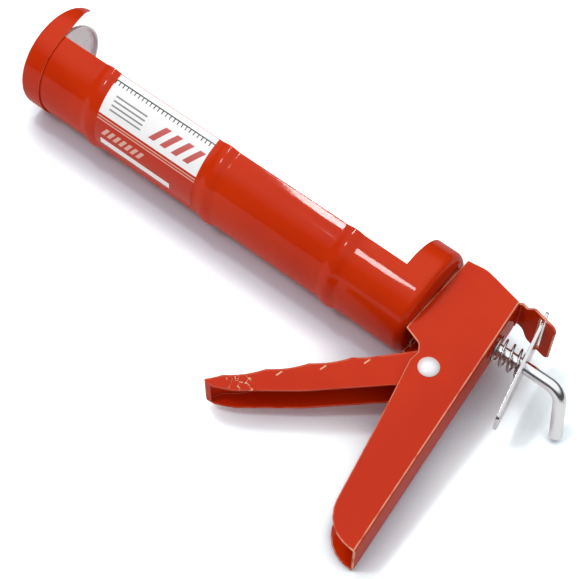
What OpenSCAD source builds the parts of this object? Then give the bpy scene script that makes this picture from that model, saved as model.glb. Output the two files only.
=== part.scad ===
// Half-barrel caulking gun for 50 mm cartridges, lying on its right side on a flat surface.
// Every piece is drawn in the gun's own frame and then laid down by lie():
//   x runs rearward along the push rod, from the outer face of the front cup;
//   y points out of the open side of the barrel, away from the handle's foot;
//   z points to the gun's left side, which is uppermost when the gun lies down.

/* [Barrel] */
// Bore of the cradle and the rear cup: cartridge diameter and its slack
bay_d = 50.4; // [46:0.2:58]
// Thickness of the barrel and cup sheet
barrel_t = 0.8; // [0.6:0.1:1.2]
// Length of the cradle trough
cradle_len = 212.5; // [170:0.5:270]
// Angle from the open side to each long edge of the cradle
cradle_edge_deg = 97.5; // [92:0.5:110]
// Radial gap between the cradle and the front cup that is welded round it
lap_gap = 0.05; // [0.05:0.05:0.2]
// Length of the cradle inside the front cup
lap_len = 10; // [6:0.5:11]
// Number of stiffening beads pressed into the cradle
bead_count = 3; // [1:1:4]
// Height of a bead above the cradle
bead_h = 1.2; // [0.8:0.1:2]
// Width of a bead along the barrel
bead_w = 9; // [6:0.5:12]
// Distance from the cradle's front edge to the first bead
bead_front = 41.5; // [35:0.5:46]
// Distance from the last bead to the cradle's rear edge
bead_rear = 27.5; // [20:0.5:36]

/* [Cups] */
// Length of the front cup
front_cup_depth = 12; // [11.5:0.5:16]
// Outer corner radius of the front cup
front_corner_r = 2; // [1.6:0.1:3]
// Width of the nozzle slot in the front cup
nozzle_slot_w = 29; // [20:1:34]
// Radius of the sloping rear edge of the front cup's two horns
horn_arc_r = 62; // [58:1:70]
// Length of the rear cup, which meets the cradle edge to edge under a filled weld
rear_cup_depth = 14.5; // [12:0.5:20]
// Outer corner radius of the rear cup
rear_corner_r = 4.5; // [2:0.1:6]

/* [Push rod] */
// Diameter of the push rod
rod_d = 6; // [5:0.1:7]
// Radial clearance of the rod in its guide holes
rod_clear = 0.3; // [0.2:0.05:0.4]
// Distance from the rear cup's back face to the corner of the hook
hook_reach = 68.1; // [64:0.1:90]
// Length of the hook from its corner
hook_len = 25.8; // [20:0.1:26]
// Bend of the hook away from the rod
hook_bend_deg = 75; // [60:1:90]
// Centreline radius of the hook's bend
hook_bend_r = 8; // [6:0.5:10]
// Turn of the hook from the handle's side toward the gun's right side
hook_turn_deg = 72; // [0:1:359]

/* [Plunger] */
// Diameter of the plunger disc
plunger_d = 40; // [34:0.5:44]
// Thickness of the plunger disc sheet
plunger_t = 1.2; // [1:0.1:1.6]
// Depth of the plunger disc's rearward rim
plunger_rim = 3; // [2:0.1:5]
// Diameter of the threaded front end of the rod
thread_d = 5; // [4:0.1:5.4]
// Clearance of the disc and washer on the threaded end
thread_clear = 0.1; // [0.06:0.02:0.2]
// Outer diameter of the washer behind the disc
washer_d = 16; // [12:0.5:20]
// Thickness of the washer
washer_t = 1.2; // [0.8:0.1:1.6]
// Width of the hexagon nut across its flats
nut_af = 8; // [7:0.5:10]
// Height of the hexagon nut
nut_h = 2.7; // [2:0.1:2.8]

/* [Handle] */
// Thickness of the handle and trigger sheet
grip_t = 1.2; // [1:0.1:1.6]
// Outer width of the handle
handle_w = 23; // [21.6:0.2:27]
// Outer fold radius of the handle
handle_fold_r = 1.8; // [1.6:0.1:2.4]
// Depth of the handle's foot below the barrel axis
handle_drop = 118; // [105:1:140]
// Lean of the handle's back from a right angle to the barrel
handle_lean = 5.61; // [4:0.01:7]
// Fore-and-aft length of the handle's head behind the rear cup, at its top edge
head_len = 31.8; // [31:0.1:34]
// Height of the handle's top rear corner above the barrel axis
head_rise = 19.6; // [18:0.1:20]
// Slope of the rear tab, down toward its end
tab_slope = 13.3; // [8:0.1:16]
// Width of the rear tab's sheet on either side of the release plate's slot
tab_side = 2.7; // [1.6:0.1:4]
// Step on each side from the handle's fold in to the rear tab's neck
neck_step = 0.9; // [0.2:0.1:2.6]
// Length of the rear tab from its fold
tab_len = 19.7; // [18:0.1:24]

/* [Trigger] */
// Gap between each side of the trigger and the handle
trigger_gap = 1.5; // [1.4:0.1:2.8]
// Length of the trigger from its pivot to its tip
trigger_len = 96; // [86:1:105]
// Angle between the trigger and the barrel
trigger_deg = 47.5; // [44:0.5:50]
// Height of the finger crests above the pivot
crest_h = 11.5; // [10.8:0.1:11.8]
// Depth of a finger scallop
scallop_h = 1; // [0.4:0.1:1.4]
// Distance between two finger crests
scallop_pitch = 18.8; // [16:0.1:20]
// Diameter of the pivot rivet's shank
rivet_d = 5; // [4:0.1:6]
// Diameter of the pivot rivet's head
rivet_head_d = 10; // [8:0.1:11]
// Height of the pivot rivet's head
rivet_head_h = 2.2; // [1.6:0.1:2.8]
// Radial running clearance of the trigger on its rivet
pivot_clear = 0.08; // [0.04:0.01:0.1]

/* [Drive and brake] */
// Thickness of the drive plate
drive_t = 2.5; // [2:0.1:3]
// Gap between the drive plate and the trigger's noses at rest
nose_gap = 0.3; // [0.2:0.05:0.4]
// Outer diameter of the drive spring
drive_spring_d = 14; // [12:0.1:14.6]
// Wire diameter of the drive spring
drive_wire_d = 1.4; // [1:0.1:1.5]
// Thickness of the release plate
release_t = 1.6; // [1.2:0.1:2]
// Width of the release plate
release_w = 21; // [17:0.1:22]
// Tilt of the release plate from a right angle to the rod at rest
release_tilt = 11.8; // [10:0.1:13]
// Length of the release plate below its slot
release_drop = 51; // [44:0.5:54]
// Outer diameter of the brake spring
brake_spring_d = 12.8; // [11:0.1:13.5]
// Wire diameter of the brake spring
brake_wire_d = 1.2; // [0.8:0.1:1.3]

/* [Label] */
// Gap between the label and the bead behind it
label_gap = 2.5; // [0.2:0.1:20]
// Thickness of the label
label_t = 0.12; // [0.1:0.02:0.2]

/* [Hidden] */

$fn = 96;
far = 400;             // longer than the gun, for cutting tools
cut = 1;               // overshoot of a cutting tool past a face
spring_gap = 0.3;      // gap between a spring's end and the plate it bears on
red = "#c83a1e";
zinc = "#d6d8dc";

// Barrel
cradle_ri = bay_d / 2;
cradle_r = cradle_ri + barrel_t;
bead_r = cradle_r + bead_h;
front_r = cradle_r + lap_gap + barrel_t;
cradle_x = front_cup_depth - lap_len;
cradle_end_x = cradle_x + cradle_len;
back_x = cradle_end_x + rear_cup_depth;
edge_y = cradle_r * cos(cradle_edge_deg);
bead_pitch = (cradle_len - bead_front - bead_rear) / max(bead_count - 1, 1);
bead_arc_r = (pow(bead_w / 2, 2) + pow(bead_h, 2)) / (2 * bead_h);
bead_arc_c = bead_r - bead_arc_r;
slot_r = nozzle_slot_w / 2;
horn_drop = 11.3;      // the horn arc's centre lies this far below the axis
horn_x = front_cup_depth - sqrt(pow(horn_arc_r, 2) - pow(horn_drop + edge_y, 2));

// Handle, with x measured from the rear cup's back face
handle_hw = handle_w / 2;
head_x = back_x + head_len;
foot_x = head_len + (head_rise + handle_drop) * tan(handle_lean);
toe_len = 17;          // flat of the foot in front of the back corner
knee_y = -66.5 * handle_drop / 118;
weld_half_h = 18;      // half the height of the inward flanges on the rear cup
weld_flange = handle_hw - grip_t / 2 - drive_spring_d / 2 - spring_gap;  // their width
weld_seat = 0.05;      // their gap to the rear cup
weld_z = handle_hw - grip_t / 2 - weld_flange / 2;
fold_ri = 1;           // inner radius of the tab's fold
fold_deg = 90 + handle_lean + tab_slope;
slot_at = 11.9;        // distance of the release slot from the tab's fold
slot_w = 3;            // width of the slot along the tab, for the plate's thickness at its slant
slot_gap = 0.4;        // gap past each side of the plate
tab_w = release_w + 2 * (slot_gap + tab_side);
tab_neck_w = handle_w - 2 * (handle_fold_r + neck_step);

// Release plate: its hinge is where it passes the middle of the tab's sheet
tab_mid = fold_ri + grip_t / 2;
fold_c = [head_x + fold_ri * cos(handle_lean), head_rise + fold_ri * sin(handle_lean)];
hinge_x = fold_c[0] + slot_at * cos(tab_slope) + tab_mid * sin(tab_slope);
hinge_y = fold_c[1] - slot_at * sin(tab_slope) + tab_mid * cos(tab_slope);
release_top = 6;
release_end_w = 12;
release_shoulder = 26; // the plate keeps its full width down to here
release_clear = 0.6;   // radial clearance of the rod in the tilted plate, measured across the rod
release_x0 = hinge_x + hinge_y * tan(release_tilt);

// Trigger, with its pivot measured from the rear cup's back face
pivot_x = back_x + 19.2;
pivot_y = -31.8;
trigger_hw = handle_hw - grip_t - trigger_gap;
rivet_seat = 0.05;     // radial gap of the rivet in the handle
rivet_lift = 0.1;      // gap under each head of the rivet
nose_r = 3;
nose_c = [3.6, 19.3];  // centre of the noses from the pivot
spine_end = 2;         // the trigger's spine ends this far past the pivot
first_crest = 31.3;    // distance of the first finger crest from the pivot
wave_steps = 8;        // points along one scallop
wave_n = floor((trigger_len - 4 - first_crest) / scallop_pitch * wave_steps);
reach = 60;            // past the ends of the trigger's head

// Drive plate and springs
drive_back_x = pivot_x + nose_c[0] - nose_r - nose_gap;
drive_x = drive_back_x - drive_t;
drive_hw = handle_hw - grip_t - 0.3;
drive_top = 13;
drive_bottom = 17;
spine_x0 = head_x + head_rise * tan(handle_lean);
spring_steps = 24;
spring_sides = 8;

// Rod
hook_x = back_x + hook_reach;
bend_t = hook_bend_r * tan(hook_bend_deg / 2);
bend_x = hook_x - bend_t;
bend_swell = 0.04;     // the rod is this much thicker where its bend begins,
bend_swell_len = 0.2;  // over this length
shoulder_x = 7.6;      // the rod's threaded end stops here, behind the washer
thread_x = 0.8;
swivel_gap = 0.15;     // end play of the plunger between the rod's shoulder and the nut
disc_x = shoulder_x - swivel_gap - washer_t - plunger_t;
nut_x = disc_x - swivel_gap - nut_h;
rod_end_x = hook_x + hook_len * cos(hook_bend_deg) + rod_d / 2 * sin(hook_bend_deg);

// Label
label_r = cradle_r + 0.02;
label_x = bead_x(0) + bead_w / 2 + 0.2;
label_len = bead_x(1) - bead_w / 2 - label_gap - label_x;
label_from = 100;
label_to = 185;

// Resting pose: the gun rolls until the beads and the handle's right foot share the floor
rest_roll = asin(bead_r / norm([handle_drop, handle_hw])) - atan2(handle_hw, handle_drop);
mid_x = rod_end_x / 2;
top_y = front_r;
low_y = -handle_drop * cos(rest_roll) - handle_hw * sin(rest_roll);
mid_y = (top_y + low_y) / 2;

// ---------- shared shapes ----------

// Lays a piece drawn in the gun's frame down on the floor, with the origin under its middle
module lie() {
    translate([-mid_x, -mid_y, bead_r]) rotate([rest_roll, 0, 0]) children();
}

// Turns a revolved shape so that its axis is the rod's, at distance x from the front cup
module on_axis(x = 0) {
    translate([x, 0, 0]) rotate([90, 0, 90]) children();
}

function unit(v) = v / norm(v);

// Points that round the corner b between the neighbours a and c with radius r
function round_corner(a, b, c, r, steps) =
    let (
        u = unit(a - b),
        v = unit(c - b),
        half = acos(u * v) / 2,
        middle = b + unit(u + v) * r / sin(half),
        from = b + u * r / tan(half) - middle,
        to = b + v * r / tan(half) - middle,
        start = atan2(from[1], from[0]),
        sweep = (atan2(to[1], to[0]) - start + 540) % 360 - 180
    )
    [for (i = [0 : steps]) middle + r * [cos(start + sweep * i / steps), sin(start + sweep * i / steps)]];

// Outline whose corners are given as [x, y, radius]; a radius of 0 keeps the corner sharp
function rounded(corners, steps = 6) =
    let (n = len(corners), at = function(i) [corners[i % n][0], corners[i % n][1]])
    [for (i = [0 : n - 1])
        each (corners[i][2] == 0 ? [at(i)]
            : round_corner(at(i + n - 1), at(i), at(i + 1), corners[i][2], steps))];

// The same for a stretch of outline: its first and last corners are kept as they are
function rounded_open(corners, steps = 6) =
    let (n = len(corners), at = function(i) [corners[i][0], corners[i][1]])
    [at(0), for (i = [1 : n - 2]) each round_corner(at(i - 1), at(i), at(i + 1), corners[i][2], steps)];

// Side-view outline turned into a slab between two heights
module slab(points, z0, z1) {
    translate([0, 0, z0]) linear_extrude(z1 - z0) polygon(points);
}

// Half section of a cup, with its bottom at the start: a disc and a skirt joined by a round corner
module cup_section(r, corner, depth) {
    square([r - corner, depth]);
    translate([0, corner]) square([r, depth - corner]);
    translate([r - corner, corner]) circle(corner);
}

// Round cup of outer radius r, drawn from one sheet
module cup(r, corner, depth) {
    rotate_extrude() difference() {
        intersection() {
            cup_section(r, corner, depth);
            square([r, depth]);
        }
        translate([0, barrel_t]) intersection() {
            cup_section(r - barrel_t, corner - barrel_t, depth);
            square([r, depth]);
        }
    }
}

// Outline of a folded sheet seen from its end, closed at x = 0
module fold_section(half_w, r, depth) {
    translate([-depth, -half_w]) square([depth - r, 2 * half_w]);
    translate([-depth, r - half_w]) square([depth, 2 * (half_w - r)]);
    for (side = [-1, 1]) translate([-r, side * (half_w - r)]) circle(r);
}

// Channel of folded sheet that runs down from y = 0, closed at the back and open to the front
module channel(half_w, r, depth, len) {
    rotate([90, 0, 0]) linear_extrude(len) difference() {
        fold_section(half_w, r, depth);
        translate([-grip_t, 0]) fold_section(half_w - grip_t, r - grip_t, depth + cut);
    }
}

function spring_point(t, x0, x1, r, turns, lean0, lean1) =
    let (a = 360 * turns * t, lean = lean0 + (lean1 - lean0) * t, s = spring_rise(t, turns))
    [x0 + (x1 - x0) * s - r * cos(a) * tan(lean), r * cos(a), r * sin(a)];

// A closed end coil takes half a turn at each end; the active coils share the rest
function spring_rise(t, turns) =
    let (flat = 0.5 / turns)
    t < flat ? 0.12 * t / flat * flat
        : t > 1 - flat ? 1 - 0.12 * (1 - t)
        : 0.12 * flat + (1 - 0.24 * flat) * (t - flat) / (1 - 2 * flat);

// Coil spring on the rod between the planes x0 and x1, whose normals lean by lean0 and lean1
module coil(x0, x1, outer_d, wire_d, turns, lean0 = 0, lean1 = 0) {
    r = (outer_d - wire_d) / 2;
    n = round(turns * spring_steps);
    points = [for (i = [0 : n])
        let (
            t = i / n,
            p = spring_point(t, x0 + wire_d / 2, x1 - wire_d / 2, r, turns, lean0, lean1),
            a = 360 * turns * t
        )
        for (k = [0 : spring_sides - 1])
            let (b = 360 * k / spring_sides)
            p + wire_d / 2 * [sin(b), cos(b) * cos(a), cos(b) * sin(a)]];
    ring = [for (k = [0 : spring_sides - 1]) k];
    sides = [for (i = [0 : n - 1], k = [0 : spring_sides - 1])
        let (a = i * spring_sides + k, b = i * spring_sides + (k + 1) % spring_sides)
        [a, b, b + spring_sides, a + spring_sides]];
    last = [for (k = [spring_sides - 1 : -1 : 0]) n * spring_sides + k];
    polyhedron(points, concat([ring], sides, [last]), convexity = 10);
}

// ---------- barrel ----------

// Half-round trough of sheet with outward beads
module cradle() {
    lie() color(red)
    on_axis() rotate([0, 0, cradle_edge_deg]) rotate_extrude(angle = 360 - 2 * cradle_edge_deg)
    difference() {
        union() {
            translate([cradle_ri, cradle_x]) square([barrel_t, cradle_len]);
            for (i = [0 : bead_count - 1]) translate([bead_arc_c, bead_x(i)]) circle(bead_arc_r);
        }
        square([cradle_ri, far]);
        for (i = [0 : bead_count - 1])
            translate([bead_arc_c, bead_x(i)]) circle(bead_arc_r - barrel_t);
    }
}

function bead_x(i) = cradle_x + bead_front + i * bead_pitch;

// Cup that holds the cartridge's nozzle end: a slotted plate and two horns, welded round the cradle
module front_cup() {
    lie() color(red)
    difference() {
        on_axis() cup(front_r, front_corner_r, front_cup_depth);
        translate([0, edge_y, -far / 2]) difference() {
            cube([far, far, far]);
            translate([horn_x, -horn_drop - edge_y, -cut])
                cylinder(r = horn_arc_r, h = far + 2 * cut, $fn = 180);
        }
        translate([-cut, 0, -slot_r]) cube([far, far, nozzle_slot_w]);
        on_axis(-cut) cylinder(r = slot_r, h = barrel_t + 2 * cut);
    }
}

// Cup that closes the barrel's rear and guides the rod
module rear_cup() {
    lie() color(red)
    difference() {
        translate([back_x, 0, 0]) mirror([1, 0, 0]) on_axis() cup(cradle_r, rear_corner_r, rear_cup_depth);
        on_axis(back_x - far / 2) cylinder(d = rod_d + 2 * rod_clear, h = far);
    }
}

// Printed label on the cradle between the first two beads
module label() {
    lie() color("white")
    on_axis(label_x) rotate([0, 0, label_from]) rotate_extrude(angle = label_to - label_from)
        translate([label_r, 0]) square([label_t, label_len]);
}

// ---------- handle ----------

// Side outline of the handle, from the top front corner round by the foot
function handle_outline() = rounded([
    [back_x + 1.2, 23, 0],
    [back_x, -21.9, 0],
    [back_x + 9, -25, 3],
    [back_x + 11.2, -28.6, 2],
    [back_x + 10.6, -33.7, 3],
    [back_x + 18, knee_y, 60],
    [back_x + foot_x - toe_len, -handle_drop, 17],
    [back_x + foot_x + 6, -handle_drop, 0],
    [head_x + 6, head_rise - 1, 0],
    [head_x, head_rise, 0],
    [back_x + 11, 24.4, 14]]);

// Plan of the rear tab from its fold, as [distance, across]
function tab_outline() = rounded([
    [0, tab_neck_w / 2, 0],
    [0, -tab_neck_w / 2, 0],
    [2.5, -tab_neck_w / 2, 2],
    [6, -tab_w / 2, 3],
    [tab_len, -tab_w / 2, 3],
    [tab_len, tab_w / 2, 3],
    [6, tab_w / 2, 3],
    [2.5, tab_neck_w / 2, 2]]);

// Handle folded from one sheet, with its rear tab and the flanges welded to the rear cup
module handle() {
    lie() color(red)
    difference() {
        union() {
            intersection() {
                translate([head_x, head_rise, 0]) rotate([0, 0, handle_lean]) translate([0, 30, 0])
                    channel(handle_hw, handle_fold_r, 60, 200);
                slab(handle_outline(), -handle_hw - cut, handle_hw + cut);
            }
            for (side = [-1, 1]) translate([back_x + weld_seat + grip_t / 2, 0, side * weld_z])
                cube([grip_t, 2 * weld_half_h, weld_flange], center = true);
            tab();
        }
        on_axis(back_x + grip_t + cut) cylinder(d = rod_d + 2 * rod_clear, h = far);
        translate([pivot_x, pivot_y, -far / 2]) cylinder(d = rivet_d + 2 * rivet_seat, h = far);
    }
}

// The spine's end folded rearward into a T-shaped tab with the slot that holds the release plate
module tab() {
    translate([fold_c[0], fold_c[1], 0]) rotate([0, 0, -tab_slope]) {
        translate([0, 0, -tab_neck_w / 2]) linear_extrude(tab_neck_w) intersection() {
            difference() {
                circle(fold_ri + grip_t);
                circle(fold_ri);
            }
            polygon([[0, 0], for (i = [0 : 4]) 5 * [cos(90 + fold_deg * i / 4), sin(90 + fold_deg * i / 4)]]);
        }
        translate([0, fold_ri + grip_t, 0]) rotate([90, 0, 0]) linear_extrude(grip_t) difference() {
            polygon(tab_outline());
            translate([slot_at - slot_w / 2, -release_w / 2 - slot_gap])
                square([slot_w, release_w + 2 * slot_gap]);
        }
    }
}

// ---------- trigger ----------

// Height of the finger side above the pivot at a distance from it: scallops between crests
function finger_y(x) =
    let (u = (x - first_crest) / scallop_pitch, part = u - floor(u))
    u < -0.5 ? crest_h - scallop_h : crest_h - scallop_h * 4 * part * (1 - part);

// Finger edge from the head to the tip, each point lowered by inset
function finger_edge(inset) = concat(
    [[spine_end, crest_h - scallop_h - inset]],
    [for (i = [-wave_steps / 2 : wave_n])
        let (x = first_crest + i * scallop_pitch / wave_steps) [-x, finger_y(x) - inset]]);

// A point given along the barrel and across it, turned into the trigger's own frame
function turned(p) = [
    p[0] * cos(trigger_deg) + p[1] * sin(trigger_deg),
    p[1] * cos(trigger_deg) - p[0] * sin(trigger_deg),
    p[2]];

// Outline of the trigger's side: fingers, tip, open edge, then the ear round the rivet to its nose
function trigger_outline() = concat(
    finger_edge(0),
    rounded_open([
        [-trigger_len + 3, crest_h - scallop_h * 0.7, 0],
        [-trigger_len, crest_h - scallop_h * 0.8, 0.9],
        [-trigger_len + 0.6, 8.7, 0.7],
        [-trigger_len + 3.4, 6.2, 5],
        [-trigger_len * 0.88, 3, 25],
        [-trigger_len * 0.566, -1.8, 80],
        [-trigger_len * 0.148, -4.8, 20],
        turned([-1, -11.5, 8]),
        turned([7.5, -7, 6]),
        turned([7.9, 3, 8]),
        turned([nose_c[0] + nose_r, nose_c[1] + nose_r, nose_r - 0.05]),
        turned([nose_c[0] - nose_r, nose_c[1] + nose_r, nose_r - 0.05]),
        turned([0.9, 12, 2]),
        [spine_end, crest_h - scallop_h, 0]]));

// Inside of the channel: below the spine's sheet, and everything past the spine's end
function trigger_cavity() = concat(
    [[reach, reach], [spine_end, reach]],
    finger_edge(grip_t),
    [[2 * grip_t - trigger_len, crest_h - scallop_h - grip_t],
        [2 * grip_t - trigger_len, -reach],
        [reach, -reach]]);

// Channel with a scalloped spine; its ears pass the rivet and end in noses that push the drive plate
module trigger() {
    lie() color(red)
    translate([pivot_x, pivot_y, 0]) rotate([0, 0, trigger_deg]) difference() {
        slab(trigger_outline(), -trigger_hw, trigger_hw);
        slab(trigger_cavity(), grip_t - trigger_hw, trigger_hw - grip_t);
        translate([0, 0, -far / 2]) cylinder(d = rivet_d + 2 * pivot_clear, h = far);
    }
}

// Domed rivet that the trigger turns on
module pivot_rivet() {
    dome_r = (pow(rivet_head_d / 2, 2) + pow(rivet_head_h, 2)) / (2 * rivet_head_h);
    tail_h = 1.4;
    base = handle_hw + rivet_lift;
    lie() color(zinc)
    translate([pivot_x, pivot_y, 0]) {
        translate([0, 0, -base - tail_h / 2]) cylinder(d = rivet_d, h = 2 * base + tail_h);
        translate([0, 0, -base - tail_h]) cylinder(d = rivet_head_d * 0.8, h = tail_h);
        translate([0, 0, base]) intersection() {
            cylinder(d = rivet_head_d, h = rivet_head_h);
            translate([0, 0, rivet_head_h - dome_r]) sphere(dome_r);
        }
    }
}

// ---------- rod and plunger ----------

// Push rod with a threaded front end and a hooked rear end
module push_rod() {
    lie() color(zinc) rotate([hook_turn_deg, 0, 0]) {
        translate([thread_x, 0, 0]) rotate([0, 90, 0]) cylinder(d = thread_d, h = shoulder_x);
        translate([shoulder_x, 0, 0]) rotate([0, 90, 0]) cylinder(d = rod_d, h = bend_x - shoulder_x);
        translate([bend_x - bend_swell_len / 2, 0, 0]) rotate([0, 90, 0])
            cylinder(d = rod_d + bend_swell, h = bend_swell_len);
        translate([bend_x, -hook_bend_r, 0]) rotate([0, 0, 90 - hook_bend_deg]) {
            rotate_extrude(angle = hook_bend_deg) translate([hook_bend_r, 0]) circle(d = rod_d);
            translate([hook_bend_r, 0, 0]) rotate([90, 0, 0]) cylinder(d = rod_d, h = hook_len - bend_t);
        }
    }
}

// Pressed disc that pushes the cartridge's piston
module plunger_disc() {
    r = plunger_d / 2;
    corner = 2;
    lie() color(zinc)
    on_axis(disc_x) rotate_extrude() difference() {
        intersection() {
            cup_section(r, corner, plunger_rim);
            square([r, plunger_rim]);
        }
        translate([0, plunger_t]) intersection() {
            cup_section(r - plunger_t, corner - plunger_t, plunger_rim);
            square([r, plunger_rim]);
        }
        translate([0, -cut]) square([thread_d / 2 + thread_clear, plunger_rim + 2 * cut]);
    }
}

module plunger_washer() {
    lie() color(zinc)
    on_axis(disc_x + plunger_t) difference() {
        cylinder(d = washer_d, h = washer_t);
        translate([0, 0, -cut]) cylinder(d = thread_d + 2 * thread_clear, h = washer_t + 2 * cut);
    }
}

// Hexagon nut on the rod's threaded end
module plunger_nut() {
    lie() color(zinc)
    on_axis(nut_x) difference() {
        cylinder(d = nut_af / cos(30), h = nut_h, $fn = 6);
        translate([0, 0, -cut]) cylinder(d = thread_d + 0.04, h = nut_h + 2 * cut);
    }
}

// ---------- drive and brake ----------

// Plate that grips the rod and carries it forward when the trigger is squeezed
module drive_plate() {
    lie() color(zinc)
    translate([drive_x, 0, 0]) difference() {
        translate([0, -drive_bottom, -drive_hw]) cube([drive_t, drive_bottom + drive_top, 2 * drive_hw]);
        on_axis(-cut) cylinder(d = rod_d + 2 * rod_clear, h = drive_t + 2 * cut);
    }
}

// Spring that returns the drive plate, between the rear cup and the plate
module drive_spring() {
    lie() color(zinc)
    coil(back_x + spring_gap, drive_x - spring_gap, drive_spring_d, drive_wire_d, 5);
}

// Plan of the release plate, as [distance below its slot, across]
function release_outline() = rounded([
    [-release_top, release_w / 2, 2],
    [-release_top, -release_w / 2, 2],
    [release_shoulder, -release_w / 2, 8],
    [release_drop, -release_end_w / 2, 3.5],
    [release_drop, release_end_w / 2, 3.5],
    [release_shoulder, release_w / 2, 8]]);

// Plate that brakes the rod; it tilts about the tab's slot when its lower end is pressed forward
module release_plate() {
    lie() color(zinc)
    difference() {
        translate([hinge_x, hinge_y, 0]) rotate([0, 0, release_tilt - 90]) translate([0, release_t / 2, 0])
            rotate([90, 0, 0]) linear_extrude(release_t) polygon(release_outline());
        on_axis(back_x) cylinder(d = rod_d + 2 * release_clear, h = far);
    }
}

// Spring that tilts the release plate, between the handle's spine and the plate
module brake_spring() {
    lie() color(zinc)
    coil(spine_x0 + spring_gap, release_x0 - release_t / 2 / cos(release_tilt) - spring_gap,
        brake_spring_d, brake_wire_d, 4, handle_lean, release_tilt);
}

cradle();
front_cup();
rear_cup();
handle();
trigger();
pivot_rivet();
push_rod();
plunger_disc();
plunger_washer();
plunger_nut();
drive_plate();
drive_spring();
release_plate();
brake_spring();
label();
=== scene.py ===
"""Looks of a half-barrel caulking gun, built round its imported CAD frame.

The gun lies on its right side on a pale floor. Its pieces are modelled in millimetres in the
gun's own frame, where x runs rearward along the push rod from the front cup's outer face, y
points out of the open side of the barrel and z points to the gun's left side. One matrix then
lays them down in the row frame, in metres.
"""

from __future__ import annotations

import logging
import math
from collections.abc import Callable, Iterable
from dataclasses import dataclass, field
from enum import Enum

import bmesh
import bpy
from mathutils import Matrix, Quaternion, Vector


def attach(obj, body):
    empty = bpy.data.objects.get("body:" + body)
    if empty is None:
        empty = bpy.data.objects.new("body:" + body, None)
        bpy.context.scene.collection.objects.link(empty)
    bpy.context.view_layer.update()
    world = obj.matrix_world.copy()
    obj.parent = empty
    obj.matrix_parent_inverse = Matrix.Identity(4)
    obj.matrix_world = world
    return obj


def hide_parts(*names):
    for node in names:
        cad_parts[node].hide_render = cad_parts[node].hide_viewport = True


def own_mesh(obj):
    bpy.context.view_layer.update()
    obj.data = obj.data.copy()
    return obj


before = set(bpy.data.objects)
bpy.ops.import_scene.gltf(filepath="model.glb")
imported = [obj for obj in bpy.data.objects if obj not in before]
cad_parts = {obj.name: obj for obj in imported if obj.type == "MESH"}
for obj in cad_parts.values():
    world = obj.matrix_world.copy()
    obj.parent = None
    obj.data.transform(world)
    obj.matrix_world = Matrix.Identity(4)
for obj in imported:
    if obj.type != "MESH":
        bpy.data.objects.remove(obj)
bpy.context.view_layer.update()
LOG = logging.getLogger("caulking_gun")

Point = tuple[float, float, float]
Colour = tuple[float, float, float]
Span = tuple[float, float]
Socket = bpy.types.NodeSocket
Material = bpy.types.Material
BMesh = bmesh.types.BMesh
Edge = bmesh.types.BMEdge

MILLIMETRE = 0.001


class Body(Enum):
    """The moving groups that a piece can ride on."""

    FRAME = "frame"
    TRIGGER = "trigger"
    DRIVE_PLATE = "drive_plate"
    PLUNGER = "plunger"
    ROD = "rod"
    RELEASE_PLATE = "release_plate"


class Slot(Enum):
    """The record's material slots."""

    PAINT = "paint"
    ZINC = "zinc"
    SPRING_WIRE = "spring_wire"
    LABEL = "label"


@dataclass(frozen=True)
class RestPose:
    """How the gun lies on the floor."""

    roll: float = math.radians(7.696685)
    shift: Point = (-0.15333765, 0.04581356, 0.0272)

    def laid(self) -> Matrix:
        """Matrix from the gun's frame in millimetres to the row frame in metres."""
        turn = Matrix.Rotation(self.roll, 4, "X")
        return Matrix.Translation(self.shift) @ turn @ Matrix.Scale(MILLIMETRE, 4)


LAID = RestPose().laid()
PIVOT = Vector((248.2, -31.8, 0.0))
TRIGGER_TURN = math.radians(47.5)


# ---------- shader helpers ----------


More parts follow.
